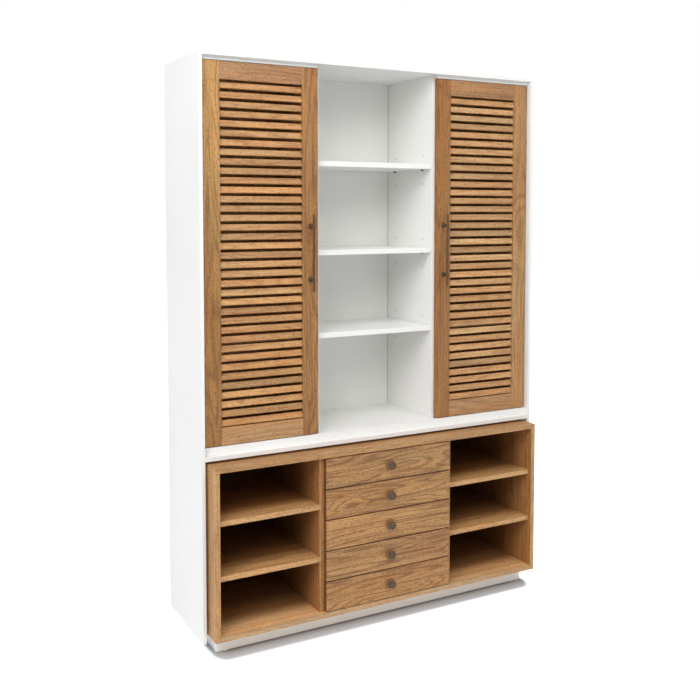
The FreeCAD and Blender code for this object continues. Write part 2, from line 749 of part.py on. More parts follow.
def handle():
    """Upright bar on two posts with round feet."""
    bar_gap = "(handle_reach - handle_diameter / 2)"
    low = "door_low + (door_height - handle_length) / 2"
    body = new_body("handle", "door_right - stile_width / 2", f"door_front - {bar_gap}", low)
    half = new_sketch(body, "bar_half", "XZ_Plane")
    rectangle(half, ("0", "handle_diameter / 2"), ("0", "handle_length"))
    revolve(body, half, "bar")
    posts = new_sketch(body, "post_places", "XZ_Plane")
    feet = new_sketch(body, "foot_places", "XZ_Plane", f"post_foot_thick - {bar_gap}")
    for side in (-1, 1):
        height = f"handle_length / 2 + ({side}) * handle_span / 2"
        circle(posts, "0", height, "post_diameter")
        circle(feet, "0", height, "post_foot_diameter")
    pad(body, posts, bar_gap, "posts", True)
    pad(body, feet, "post_foot_thick", "feet", True)
    return body


def hinge_cup(hinge):
    """Cup with its upright pin."""
    hollow = cup_space(f"{hinge}_cup_hollow", hinge, "cup_wall", "cut_overrun")
    bowl = cut(f"{hinge}_cup_bowl", cup_space(f"{hinge}_cup_round", hinge), [hollow])
    reach = "sqrt(((cup_diameter - cup_wall) / 2)^2 - (pivot_x - cup_x)^2)"
    pin = document.addObject("Part::Cylinder", f"{hinge}_cup_pin")
    bind(pin, "Radius", "hinge_pin_diameter / 2")
    bind(pin, "Height", f"2 * {reach}")
    seat(pin, "pivot_x", "pivot_y", f"door_low + hinge_{hinge}_rise - {reach}")
    return fuse(f"{hinge}_cup", bowl, pin)


def hinge_arm(hinge):
    """Cranked arm from the white side round the door edge to the pin."""
    eye = "arm_eye_width / 2"
    low = f"door_low + hinge_{hinge}_rise - arm_height / 2"
    body = new_body(f"{hinge}_arm", "left_in", f"pivot_y - {eye}", low)
    pin_x = "(pivot_x - left_in)"
    neck = f"({pin_x} + arm_neck_reach)"
    rise = f"({eye} + arm_neck_rise)"
    points = (
        ("0", rise),
        (neck, rise),
        (neck, f"{eye} + arm_thick / 2"),
        (f"{pin_x} + {eye}", f"{eye} + arm_thick / 2"),
        (f"{pin_x} + {eye}", "arm_eye_width"),
        (f"{pin_x} - {eye}", "arm_eye_width"),
        (f"{pin_x} - {eye}", "0"),
        (f"{pin_x} + {eye}", "0"),
        (f"{pin_x} + {eye}", f"{eye} - arm_thick / 2"),
        (f"{neck} + arm_thick", f"{eye} - arm_thick / 2"),
        (f"{neck} + arm_thick", f"{rise} + arm_thick"),
        ("arm_thick", f"{rise} + arm_thick"),
        ("arm_thick", f"{rise} + arm_plate_length"),
        ("0", f"{rise} + arm_plate_length"),
    )
    path = new_sketch(body, f"{hinge}_arm_path", "XY_Plane")
    outline(path, points)
    pad(body, path, "arm_height", f"{hinge}_arm_strip")
    bore = new_sketch(body, f"{hinge}_arm_bore_place", "XY_Plane")
    circle(bore, pin_x, eye, "hinge_pin_diameter + 2 * hinge_pin_gap")
    pocket(body, bore, "arm_height", f"{hinge}_arm_bore", True)
    return body


def doors():
    bores = [cup_space(f"{hinge}_cup_bore", hinge, overrun="cut_overrun") for hinge in HINGES]
    hinge_stile = cut("bored_stile", stile("hinge_stile", "door_left", True), bores)
    keep_pair(hinge_stile, "door_hinge_stile")
    keep_pair(stile("lock_stile", "field_right", False), "door_lock_stile")
    keep_pair(rail("low_rail", "door_low"), "door_bottom_rail")
    keep_pair(rail("high_rail", "door_low + door_height - rail_height"), "door_top_rail")
    keep_pair(slats(), "door_slats")
    keep_pair(handle(), "door_handle")
    keep_pair(group("cups", [hinge_cup(hinge) for hinge in HINGES]), "door_hinge_cups")
    arms = []
    for hinge in HINGES:
        arm = hinge_arm(hinge)
        arms += [arm, mirrored(f"{hinge}_arm_twin", arm)]
    keep(group("arms", arms), "hinge_arms")


upper_carcass()
white_shelves()
shelf_pins()
base_carcass()
plinth()
oak_shell()
oak_inside()
drawers()
doors()
document.recompute()

# Every feature must have worked before anything is written
for item in document.Objects:
    if "Invalid" in item.State or "Error" in item.State:
        raise RuntimeError(f"{item.Label} failed: {item.State}")
for label, node in nodes.items():
    if node.Shape.isNull() or not node.Shape.isValid():
        raise RuntimeError(f"{label} has no valid shape")

os.makedirs("parts", exist_ok=True)
for label, node in nodes.items():
    node.Shape.exportStep(f"parts/{label}.step")
print(f"{len(nodes)} sub-parts written")
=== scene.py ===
import json
import math

import bpy
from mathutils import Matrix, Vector


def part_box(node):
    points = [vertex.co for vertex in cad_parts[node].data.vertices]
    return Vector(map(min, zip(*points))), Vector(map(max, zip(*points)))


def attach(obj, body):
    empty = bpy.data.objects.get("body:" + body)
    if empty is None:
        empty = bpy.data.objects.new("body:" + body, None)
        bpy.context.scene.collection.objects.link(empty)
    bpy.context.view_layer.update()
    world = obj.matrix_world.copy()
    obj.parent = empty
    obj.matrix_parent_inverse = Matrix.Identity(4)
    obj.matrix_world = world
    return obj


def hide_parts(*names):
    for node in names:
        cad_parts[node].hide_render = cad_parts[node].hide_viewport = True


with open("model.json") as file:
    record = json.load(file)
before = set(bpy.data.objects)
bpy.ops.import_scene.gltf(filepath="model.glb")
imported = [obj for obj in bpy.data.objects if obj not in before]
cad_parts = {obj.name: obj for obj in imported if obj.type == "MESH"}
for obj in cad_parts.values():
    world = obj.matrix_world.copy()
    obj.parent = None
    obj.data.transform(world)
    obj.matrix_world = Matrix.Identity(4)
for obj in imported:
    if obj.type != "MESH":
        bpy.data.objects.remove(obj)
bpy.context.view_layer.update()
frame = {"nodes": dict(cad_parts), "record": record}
nodes = frame["nodes"]
scene = bpy.context.scene
scene.view_settings.view_transform = "Standard"


# Shader trees
def put(tree, kind, **settings):
    """A shader node with its settings."""
    node = tree.nodes.new(kind)
    for name, value in settings.items():
        setattr(node, name, value)
    return node


def join(tree, source, target):
    tree.links.new(source, target)


def fill(node, values):
    """Set a node's own sockets by name."""
    for name, value in values.items():
        node.inputs[name].default_value = value


def maths(tree, operation, first, second=None, third=None, clamp=False):
    """A Math node; each input is a socket or a number."""
    node = put(tree, "ShaderNodeMath", operation=operation, use_clamp=clamp)
    for place, value in enumerate((first, second, third)):
        if value is None:
            continue
        if isinstance(value, (int, float)):
            node.inputs[place].default_value = value
        else:
            join(tree, value, node.inputs[place])
    return node.outputs[0]


def opposite(tree, value):
    """1 less a value."""
    return maths(tree, "SUBTRACT", 1.0, value)


def window(tree, value, low, high):
    """0 below low, 1 above high, smooth between."""
    node = put(tree, "ShaderNodeMapRange", interpolation_type="SMOOTHSTEP")
    join(tree, value, node.inputs["Value"])
    fill(node, {"From Min": low, "From Max": high})
    return node.outputs[0]


def between(tree, value, low, high):
    """1 where a value lies between two limits."""
    above = maths(tree, "GREATER_THAN", value, low)
    return maths(tree, "MULTIPLY", above, maths(tree, "LESS_THAN", value, high))


def vector_maths(tree, operation, vector, value=None):
    """A Vector Math node on a vector and a fixed value."""
    node = put(tree, "ShaderNodeVectorMath", operation=operation)
    join(tree, vector, node.inputs[0])
    if value is not None:
        node.inputs[1].default_value = value
    return node.outputs["Value" if operation == "LENGTH" else "Vector"]


def axes(tree, vector):
    """A vector's three numbers."""
    node = put(tree, "ShaderNodeSeparateXYZ")
    join(tree, vector, node.inputs[0])
    return node.outputs


def vector_of(tree, numbers):
    """A vector of three sockets."""
    node = put(tree, "ShaderNodeCombineXYZ")
    for number, socket in zip(numbers, node.inputs):
        join(tree, number, socket)
    return node.outputs[0]


def noise(tree, vector, scale, detail=2.0, roughness=0.5, distortion=0.0):
    """The 0 to 1 value of a noise pattern."""
    node = put(tree, "ShaderNodeTexNoise")
    join(tree, vector, node.inputs["Vector"])
    fill(node, {"Scale": scale, "Detail": detail, "Roughness": roughness, "Distortion": distortion})
    return node.outputs[0]


def blend_colours(tree, factor, first, second, mode="MIX"):
    """A colour between two; each is a socket or a colour."""
    node = put(tree, "ShaderNodeMix", data_type="RGBA", blend_type=mode)
    for place, value in ((0, factor), (6, first), (7, second)):
        if isinstance(value, (int, float)):
            node.inputs[place].default_value = value
        elif isinstance(value, tuple):
            node.inputs[place].default_value = (*value, 1.0)
        else:
            join(tree, value, node.inputs[place])
    return node.outputs[2]


def multiplied(tree, colour, tone):
    """A colour times a tone."""
    return blend_colours(tree, 1.0, colour, tone, "MULTIPLY")


def toned(tree, mask, colour, tone):
    """A colour that is multiplied by a tone where the mask is 1."""
    return blend_colours(tree, mask, colour, multiplied(tree, colour, tone))


def bump(tree, height, relief, shader):
    """A relief on the shader's normal."""
    strength, distance = relief
    node = put(tree, "ShaderNodeBump")
    fill(node, {"Strength": strength, "Distance": distance})
    join(tree, height, node.inputs["Height"])
    join(tree, node.outputs[0], shader.inputs["Normal"])


def new_group(name, inputs, outputs):
    """A shader node group with named sockets."""
    group = bpy.data.node_groups.new(name, "ShaderNodeTree")
    for label, kind, value in inputs:
        socket = group.interface.new_socket(label, in_out="INPUT", socket_type=kind)
        if value is not None:
            socket.default_value = value
    for label, kind in outputs:
        group.interface.new_socket(label, in_out="OUTPUT", socket_type=kind)
    return group, put(group, "NodeGroupInput"), put(group, "NodeGroupOutput")


def new_material(name):
    """A material with its shader and object coordinates."""
    material = bpy.data.materials.new(name)
    material.use_nodes = True
    tree = material.node_tree
    shader = next(node for node in tree.nodes if node.type == "BSDF_PRINCIPLED")
    coords = put(tree, "ShaderNodeTexCoord")
    return material, tree, shader, coords.outputs["Object"]


# Effects that several materials share
FLOAT, COLOUR, VECTOR = "NodeSocketFloat", "NodeSocketColor", "NodeSocketVector"

BOARD_SHIFT = (3.7, 1.3, 2.1)
KNOT_STRETCH, KNOT_SCALE, KNOT_REACH = (1.0, 2.6, 2.6), 2.6, 0.3
KNOT_SWELL = 0.16
RING_COUNT = 19.0
FLECK_DARKNESS = 0.48
WARMER = (1.04, 0.93, 0.86)
OAK_ROUGH, DARK_ROUGHER = 0.44, 0.14
FLECK_HEIGHT, STREAK_HEIGHT = -0.8, 0.5
RING_START, RING_END = (0.25, 1.0), (0.0, 0.2)
FLECK_RANGE, DRIFT_RANGE = (0.52, 0.66), (0.35, 0.65)


def grain_group():
    """Oak grain that runs along X: growth rings, streaks, dark flecks, knots and a drift of hue."""
    inputs = (
        ("Place", VECTOR, None),
        ("Light", COLOUR, (0.5, 0.3, 0.14, 1)),
        ("Dark", COLOUR, (0.3, 0.15, 0.06, 1)),
        ("Board", FLOAT, 0.0),
        ("Figure", FLOAT, 0.3),
        ("Knots", FLOAT, 0.0),
    )
    outputs = (("Colour", COLOUR), ("Rough", FLOAT), ("Height", FLOAT))
    tree, given, result = new_group("Oak grain", inputs, outputs)
    shift = put(tree, "ShaderNodeVectorMath", operation="MULTIPLY_ADD")
    join(tree, vector_of(tree, [given.outputs["Board"]] * 3), shift.inputs[0])
    shift.inputs[1].default_value = BOARD_SHIFT
    join(tree, given.outputs["Place"], shift.inputs[2])
    place = shift.outputs[0]

    def pattern(along, across, detail=2.0, roughness=0.5, distortion=0.0):
        """Noise with one scale along the grain and another across it."""
        stretched = vector_maths(tree, "MULTIPLY", place, (along, across, across))
        return noise(tree, stretched, 1.0, detail, roughness, distortion)

    knots = put(tree, "ShaderNodeTexVoronoi", feature="F1")
    join(tree, vector_maths(tree, "MULTIPLY", place, KNOT_STRETCH), knots.inputs["Vector"])
    fill(knots, {"Scale": KNOT_SCALE})
    near_knot = opposite(tree, window(tree, knots.outputs["Distance"], 0.0, KNOT_REACH))
    knot = maths(tree, "MULTIPLY", near_knot, given.outputs["Knots"])

    field = maths(tree, "MULTIPLY_ADD", knot, KNOT_SWELL, pattern(0.8, 9.0, distortion=0.6))
    rings = maths(tree, "FRACT", maths(tree, "MULTIPLY", field, RING_COUNT))
    ring_end = window(tree, opposite(tree, rings), *RING_END)
    ring_line = maths(tree, "MULTIPLY", window(tree, rings, *RING_START), ring_end)
    streaks = pattern(2.6, 80.0, 4.0, 0.6, 0.2)
    threads = pattern(15.0, 330.0)
    broad = pattern(1.3, 9.0)
    flecks = window(tree, pattern(85.0, 400.0, detail=1.0), *FLECK_RANGE)

    dark = maths(tree, "MULTIPLY", ring_line, given.outputs["Figure"])
    # Each mark with the range in which it turns dark, and how dark
    marks = ((streaks, 0.36, 0.7, 0.3), (threads, 0.38, 0.66, 0.26), (broad, 0.35, 0.7, 0.2),
             (knot, 0.5, 0.95, 0.8))
    for mark, low, high, darkness in marks:
        dark = maths(tree, "MULTIPLY_ADD", window(tree, mark, low, high), darkness, dark)
    dark = maths(tree, "MULTIPLY_ADD", flecks, FLECK_DARKNESS, dark, clamp=True)
    colour = blend_colours(tree, dark, given.outputs["Light"], given.outputs["Dark"])
    drift = window(tree, pattern(2.0, 16.0), *DRIFT_RANGE)
    join(tree, toned(tree, drift, colour, WARMER), result.inputs["Colour"])
    rough = maths(tree, "MULTIPLY_ADD", dark, DARK_ROUGHER, OAK_ROUGH)
    join(tree, rough, result.inputs["Rough"])
    streak_relief = maths(tree, "MULTIPLY", streaks, STREAK_HEIGHT)
    height = maths(tree, "MULTIPLY_ADD", flecks, FLECK_HEIGHT, streak_relief)
    join(tree, height, result.inputs["Height"])
    return tree


def row_group():
    """The number of the row that a height falls in, and a random value for that row."""
    inputs = (("Height", FLOAT, 0.0), ("Start", FLOAT, 0.0), ("Step", FLOAT, 1.0))
    tree, given, result = new_group("Row number", inputs, (("Row", FLOAT), ("Random", FLOAT)))
    above = maths(tree, "SUBTRACT", given.outputs["Height"], given.outputs["Start"])
    row = maths(tree, "FLOOR", maths(tree, "DIVIDE", above, given.outputs["Step"]))
    join(tree, row, result.inputs["Row"])
    spread = put(tree, "ShaderNodeTexWhiteNoise", noise_dimensions="1D")
    join(tree, row, spread.inputs["W"])
    join(tree, spread.outputs["Value"], result.inputs["Random"])
    return tree


# Tones of the white boards keep this far from a face, from a front edge and from a corner
SKIN = 0.0007
EDGE = 0.002
JOINT = 0.0024
JOINT_SHADE = 0.5


def upper_unit_group():
    """Masks for the white boards: faces inside a closet, and shade in pin holes and back joints."""
    outputs = (("Inside", FLOAT), ("Shade", FLOAT))
    tree, given, result = new_group("Upper unit faces", (("Place", VECTOR, None),), outputs)
    x, y, z = axes(tree, given.outputs["Place"])
    across = maths(tree, "ABSOLUTE", x)
    partition_low, partition_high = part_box("right_partition")
    wall_in, wall_out = partition_low[0], partition_high[0]
    side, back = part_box("right_upper_side")[0][0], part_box("upper_back")[0][1]
    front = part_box("left_door_lock_stile")[1][1]
    low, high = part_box("upper_floor")[1][2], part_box("top_panel")[0][2]
    depth = between(tree, y, front + EDGE, back + SKIN)
    height = between(tree, z, low - SKIN, high + SKIN)
    hollow = maths(tree, "MULTIPLY", depth, height)
    closet = between(tree, across, wall_out - SKIN, side + SKIN)
    join(tree, maths(tree, "MULTIPLY", hollow, closet), result.inputs["Inside"])
    in_wall = between(tree, across, wall_in + SKIN, wall_out - SKIN)
    holes = maths(tree, "MULTIPLY", hollow, in_wall)
    corner = between(tree, across, wall_in - JOINT, wall_in)
    at_back = between(tree, y, back - SKIN, back + SKIN)
    joint = maths(tree, "MULTIPLY", maths(tree, "MULTIPLY", corner, at_back), JOINT_SHADE)
    join(tree, maths(tree, "MAXIMUM", holes, joint), result.inputs["Shade"])
    return tree


GRAIN = grain_group()
ROWS = row_group()
UPPER_UNIT = upper_unit_group()

# Reliefs: strength and depth in metres
OAK_RELIEF = (0.35, 0.0006)
PEEL_RELIEF = (0.05, 0.0003)
METAL_RELIEF = (0.25, 0.0006)
GRIT_RELIEF = (0.1, 0.0002)

# Tones that multiply the oak's colour: paler, and painted shade inside the box and on the rims of
# the drawer fronts
PALER = (1.48, 1.84, 2.4)
INNER_SHADE = (0.84, 0.73, 0.64)
DEEPEST_SHADE = (0.4, 0.32, 0.24)
RIM_SHADE = (0.42, 0.34, 0.28)

# Turns that bring each axis to the grain's own
TURNS = {"x": (0, 0, 0), "y": (0, 0, math.radians(-90)), "z": (0, math.radians(90), 0)}
# How far apart in the timber two rows are cut, and how their hue differs
ROW_SHIFT = 7.0
HUE_STEPS = 17.0
HUE_FALL = (0.0, -0.1, -0.2)
# How far behind the front edge the painted shade on an inner face turns to its deepest tone
INNER_SHADE_FADE = (0.03, 0.24)


def grained(tree, place, grain, light, dark, board):
    """Oak grain along one axis, as a group node."""
    turn = put(tree, "ShaderNodeMapping")
    fill(turn, {"Rotation": TURNS[grain]})
    join(tree, place, turn.inputs["Vector"])
    group = put(tree, "ShaderNodeGroup", node_tree=GRAIN)
    join(tree, turn.outputs[0], group.inputs["Place"])
    fill(group, {"Light": (*light, 1), "Dark": (*dark, 1), "Board": board})
    return group


def row_tint(tree, height, rows, tone):
    """The random value of a slat's or drawer's row, and the tint that it gives."""
    row = put(tree, "ShaderNodeGroup", node_tree=ROWS)
    join(tree, height, row.inputs["Height"])
    fill(row, {"Start": rows[0], "Step": rows[1]})
    random = row.outputs["Random"]
    shade = maths(tree, "MULTIPLY_ADD", random, tone, 1.0 - tone / 2)
    hue = maths(tree, "FRACT", maths(tree, "MULTIPLY", random, HUE_STEPS))
    channels = [maths(tree, "MULTIPLY_ADD", hue, fall, 1.0 - fall / 2) for fall in HUE_FALL]
    tints = [maths(tree, "MULTIPLY", channel, shade) for channel in channels]
    return random, vector_of(tree, tints)


def drawer_rim_shade(tree, x, z, rows, edges):
    """1 near the edges and ends of each drawer front, which take painted shade in place of the
    shade of the gaps between the fronts.
    """
    start, pitch = rows
    rim_height, rim_start = edges
    share = maths(tree, "DIVIDE", maths(tree, "SUBTRACT", z, start), pitch)
    middle = maths(tree, "SUBTRACT", maths(tree, "FRACT", share), 0.5)
    off_middle = maths(tree, "ABSOLUTE", middle)
    near_edge = maths(tree, "GREATER_THAN", off_middle, 0.5 - rim_height / pitch)
    near_end = maths(tree, "GREATER_THAN", maths(tree, "ABSOLUTE", x), rim_start)
    return maths(tree, "MAXIMUM", near_edge, near_end)


def oak(name, grain, light, dark, figure=0.3, knots=0.0, board=0.0, rows=None, tone=0.0,
        pale=None, inner=None, edges=None, depth=None, front=None, gloss=0.5):
    """Oiled oak with its grain along one axis.

    Rows gives each slat or drawer its own timber. Pale gives two heights between which the board
    turns paler. Inner gives the depth and half width that bound the faces inside the box, which get
    painted shade that deepens towards the back. Edges gives the height and the half width at which
    the painted shade on a drawer front's rim starts. Depth gives two depths between which a shelf
    turns from its pale front to a deep painted shadow. Front gives the depth and the painted shade
    of a board's front face.
    """
    material, tree, shader, place = new_material(name)
    group = grained(tree, place, grain, light, dark, board)
    fill(group, {"Figure": figure, "Knots": knots})
    colour = group.outputs["Colour"]
    x, y, z = axes(tree, place)
    if rows:
        random, tint = row_tint(tree, z, rows, tone)
        join(tree, maths(tree, "MULTIPLY_ADD", random, ROW_SHIFT, board), group.inputs["Board"])
        colour = multiplied(tree, colour, tint)
    # Painted shade on the rims of the drawer fronts, where the gaps between them lie
    if edges:
        colour = toned(tree, drawer_rim_shade(tree, x, z, rows, edges), colour, RIM_SHADE)
    # Painted shade on the faces inside the box, deepening towards the back
    if inner:
        start, half_width = inner
        behind = maths(tree, "GREATER_THAN", y, start)
        between_sides = maths(tree, "LESS_THAN", maths(tree, "ABSOLUTE", x), half_width)
        far = window(tree, y, start + INNER_SHADE_FADE[0], start + INNER_SHADE_FADE[1])
        inside = maths(tree, "MULTIPLY", behind, between_sides)
        colour = toned(tree, inside, colour, blend_colours(tree, far, INNER_SHADE, DEEPEST_SHADE))
    # Painted shadow on a shelf, from its pale front to a deep tone at the back
    if depth:
        colour = toned(tree, window(tree, y, *depth), colour, DEEPEST_SHADE)
    # Painted shade on a board's front face
    if front:
        limit, front_shade = front
        colour = toned(tree, maths(tree, "LESS_THAN", y, limit), colour, front_shade)
    if pale:
        colour = toned(tree, window(tree, z, *pale), colour, PALER)
    join(tree, colour, shader.inputs["Base Color"])
    join(tree, group.outputs["Rough"], shader.inputs["Roughness"])
    fill(shader, {"Specular IOR Level": gloss})
    bump(tree, group.outputs["Height"], OAK_RELIEF, shader)
    return material


CLOUD_SCALE, CLOUD_DETAIL, CLOUD_SHADE, CLOUD_RANGE = 3.0, 3.0, 0.97, (0.3, 0.7)
PEEL_SCALE, PEEL_ROUGHER, LACQUER_ROUGH = 900.0, 0.08, 0.36
HOLE_SHADE = (0.1, 0.1, 0.1)


def sprayed(tree, place, colour, shader):
    """Satin lacquer with a faint orange peel; the result is its colour."""
    peel = noise(tree, place, PEEL_SCALE)
    rough = maths(tree, "MULTIPLY_ADD", peel, PEEL_ROUGHER, LACQUER_ROUGH)
    join(tree, rough, shader.inputs["Roughness"])
    bump(tree, peel, PEEL_RELIEF, shader)
    cloud = window(tree, noise(tree, place, CLOUD_SCALE, CLOUD_DETAIL), *CLOUD_RANGE)
    return blend_colours(tree, cloud, colour, tuple(value * CLOUD_SHADE for value in colour))


def lacquer(name, colour):
    """White lacquered board."""
    material, tree, shader, place = new_material(name)
    join(tree, sprayed(tree, place, colour, shader), shader.inputs["Base Color"])
    return material


def closet_board(name, colour, light, dark, board):
    """White lacquered board with oak veneer on its faces inside a closet; the veneer is guessed,
    and stands in for the shade that darkens the gaps between the slats.
    """
    material, tree, shader, place = new_material(name)
    faces = put(tree, "ShaderNodeGroup", node_tree=UPPER_UNIT)
    join(tree, place, faces.inputs["Place"])
    # Oak veneer guessed for the faces inside a closet, standing in for the shade between the slats
    veneer = grained(tree, place, "z", light, dark, board).outputs["Colour"]
    painted = sprayed(tree, place, colour, shader)
    painted = blend_colours(tree, faces.outputs["Shade"], painted, HOLE_SHADE)
    painted = blend_colours(tree, faces.outputs["Inside"], painted, veneer)
    join(tree, painted, shader.inputs["Base Color"])
    return material


PLATE_REACH = 0.0025
MOTTLE_DETAIL, MOTTLE_ROUGH, MOTTLE_RANGE, MOTTLE_ROUGHER = 4.0, 0.6, (0.35, 0.65), 0.2
GRIT_SCALE, GRIT_SHADE, PLASTIC_ROUGH = 400.0, 0.9, 0.5


def metal(name, light, dark, rough, metallic, scale, plate=None):
    """Metal with a mottled, slightly worn finish. Plate colours what lies against the drawer."""
    material, tree, shader, place = new_material(name)
    mottle = noise(tree, place, scale, MOTTLE_DETAIL, MOTTLE_ROUGH)
    colour = blend_colours(tree, window(tree, mottle, *MOTTLE_RANGE), dark, light)
    if plate:
        plate_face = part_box("drawer_1_front")[0][1] - PLATE_REACH
        near_face = maths(tree, "GREATER_THAN", axes(tree, place)["Y"], plate_face)
        colour = blend_colours(tree, near_face, colour, plate)
    join(tree, colour, shader.inputs["Base Color"])
    roughness = maths(tree, "MULTIPLY_ADD", mottle, MOTTLE_ROUGHER, rough)
    join(tree, roughness, shader.inputs["Roughness"])
    fill(shader, {"Metallic": metallic})
    bump(tree, mottle, METAL_RELIEF, shader)
    return material


def plastic(name, colour):
    """Moulded plastic with a fine grit."""
    material, tree, shader, place = new_material(name)
    grit = noise(tree, place, GRIT_SCALE)
    darker = tuple(value * GRIT_SHADE for value in colour)
    join(tree, blend_colours(tree, grit, colour, darker), shader.inputs["Base Color"])
    fill(shader, {"Roughness": PLASTIC_ROUGH})
    bump(tree, grit, GRIT_RELIEF, shader)
    return material


# Timbers, each with its light and its dark colour
STILE = ((0.44, 0.225, 0.07), (0.18, 0.076, 0.019))
DARK_STILE = ((0.42, 0.205, 0.053), (0.165, 0.066, 0.014))
PALE_STILE = ((0.53, 0.31, 0.12), (0.23, 0.115, 0.037))
TOP_RAIL = ((0.46, 0.26, 0.117), (0.19, 0.085, 0.03))
LOW_RAIL = ((0.53, 0.31, 0.134), (0.24, 0.115, 0.042))
SLAT = ((0.58, 0.32, 0.115), (0.255, 0.107, 0.031))
PALE_SLAT = ((0.64, 0.39, 0.172), (0.28, 0.135, 0.046))
BOX = ((0.62, 0.37, 0.155), (0.29, 0.145, 0.046))
BOX_TOP = ((0.56, 0.33, 0.14), (0.26, 0.13, 0.042))
# Shelf and bottom oak are brighter copies of the box oak: painted light on their tops
LIT_BOX_SHELF = ((0.7, 0.42, 0.18), (0.33, 0.165, 0.054))
LIT_BOX_FOOT = ((0.9, 0.57, 0.28), (0.48, 0.26, 0.1))
DRAWER = ((0.57, 0.315, 0.112), (0.2, 0.09, 0.026))
TIMBER = ((0.62, 0.45, 0.26), (0.45, 0.3, 0.15))

WHITE = (0.885, 0.882, 0.854)
BRONZE = ((0.11, 0.053, 0.018), (0.045, 0.022, 0.008))
KNOB_BRONZE = ((0.12, 0.078, 0.04), (0.048, 0.03, 0.015))
KNOB_PLATE = (0.24, 0.11, 0.042)
NICKEL = ((0.62, 0.62, 0.63), (0.5, 0.5, 0.52))
DARK_STEEL = ((0.16, 0.15, 0.14), (0.08, 0.075, 0.07))
PALE_PLASTIC = (0.7, 0.69, 0.66)

# Rows of slats and of drawers: where the first starts, and the step from one to the next
SLATS = 37
SLAT_TONE, DRAWER_TONE = 0.42, 0.1
rail_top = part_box("left_door_bottom_rail")[1][2]
slat_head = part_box("left_door_top_rail")[0][2]
slat_rows = (rail_top, (slat_head - rail_top) / SLATS)
drawer_low, drawer_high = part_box("drawer_1_front")
drawer_foot = drawer_low[2]
drawer_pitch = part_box("drawer_2_front")[0][2] - drawer_foot
drawer_gap = drawer_pitch - (drawer_high[2] - drawer_foot)
drawer_rows = (drawer_foot - drawer_gap / 2, drawer_pitch)
# Width of the painted shade on the rims of the drawer fronts
RIM_WIDTH = 0.0012
drawer_edges = (drawer_gap / 2 + RIM_WIDTH, drawer_high[0] - RIM_WIDTH)

# Heights between which the left hinge stile turns paler
PALE_HEIGHTS = (1.1, 1.75)

# Where painted shade darkens the oak box
SHELF_SHADE_FADE = (0.04, 0.14)
FRONT_SKIN = 0.0015
FOOT_SHADE = (0.62, 0.67, 0.72)
SHADED = (0.113, 0.083, 0.075)
box_side_low, box_side_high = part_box("right_oak_side")
box_front = box_side_low[1]
# Faces inside the box that take painted shade
shaded_inner_faces = (box_front + EDGE, box_side_high[0] - EDGE)
# Depths between which painted shadow darkens the shelves and the bottom board
shelf_shade_depth = tuple(box_front + reach for reach in SHELF_SHADE_FADE)
# Painted shade on the front face of the box's bottom board
foot_front_shade = (box_front + FRONT_SKIN, FOOT_SHADE)
# Painted shade, near black, on the face of the box's back that looks into the bays
back_face_shade = (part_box("oak_back")[0][1] + EDGE, SHADED)

MATERIALS = {
    "white": lacquer("White lacquer", WHITE),
    "closet": closet_board("White board, oak inside", WHITE, *BOX, 9.4),
    "veneer": oak("Closet shelf oak", "x", *BOX, board=9.9),
    "hinge_stile": oak("Left hinge stile oak", "z", *DARK_STILE, 0.45, board=0.4,
                       pale=PALE_HEIGHTS),
    "right_stile": oak("Right hinge stile oak", "z", *PALE_STILE, 0.45, board=1.1),
    "lock_stile": oak("Left lock stile oak", "z", *STILE, 0.55, board=2.7),
    "right_lock_stile": oak("Right lock stile oak", "z", *DARK_STILE, 0.45, board=4.6),
    "top_rail": oak("Top rail oak", "x", *TOP_RAIL, board=1.9),
    "low_rail": oak("Bottom rail oak", "x", *LOW_RAIL, board=2.3),
    "slat": oak("Left door slat oak", "x", *SLAT, 0.35, board=3.1, rows=slat_rows, tone=SLAT_TONE),
    "right_slat": oak("Right door slat oak", "x", *PALE_SLAT, 0.35, board=6.9, rows=slat_rows,
                      tone=SLAT_TONE),
    "box_x": oak("Oak box shelves", "x", *LIT_BOX_SHELF, board=5.2, depth=shelf_shade_depth),
    "box_top": oak("Oak box top", "x", *BOX_TOP, board=5.2),
    "box_foot": oak("Oak box bottom", "x", *LIT_BOX_FOOT, board=4.1, depth=shelf_shade_depth,
                    front=foot_front_shade),
    "box_z": oak("Oak box uprights", "z", *BOX, board=6.3, inner=shaded_inner_faces),
    "box_back": oak("Oak box back", "x", *BOX, board=7.7, front=back_face_shade, gloss=0.1),
    "drawer": oak("Drawer front oak", "x", *DRAWER, 0.6, knots=0.8, board=8.4, rows=drawer_rows,
                  tone=DRAWER_TONE, edges=drawer_edges),
    "timber": oak("Drawer box timber", "y", *TIMBER, board=9.0),
    "bronze": metal("Brown bronze", *BRONZE, 0.5, 0.2, 160.0),
    "knob_bronze": metal("Grey bronze", *KNOB_BRONZE, 0.55, 0.15, 220.0, KNOB_PLATE),
    "steel": metal("Nickel-plated steel", *NICKEL, 0.25, 1.0, 90.0),
    "dark_steel": metal("Dark steel pins", *DARK_STEEL, 0.35, 0.9, 200.0),
    "plastic": plastic("Pale plastic", PALE_PLASTIC),
}

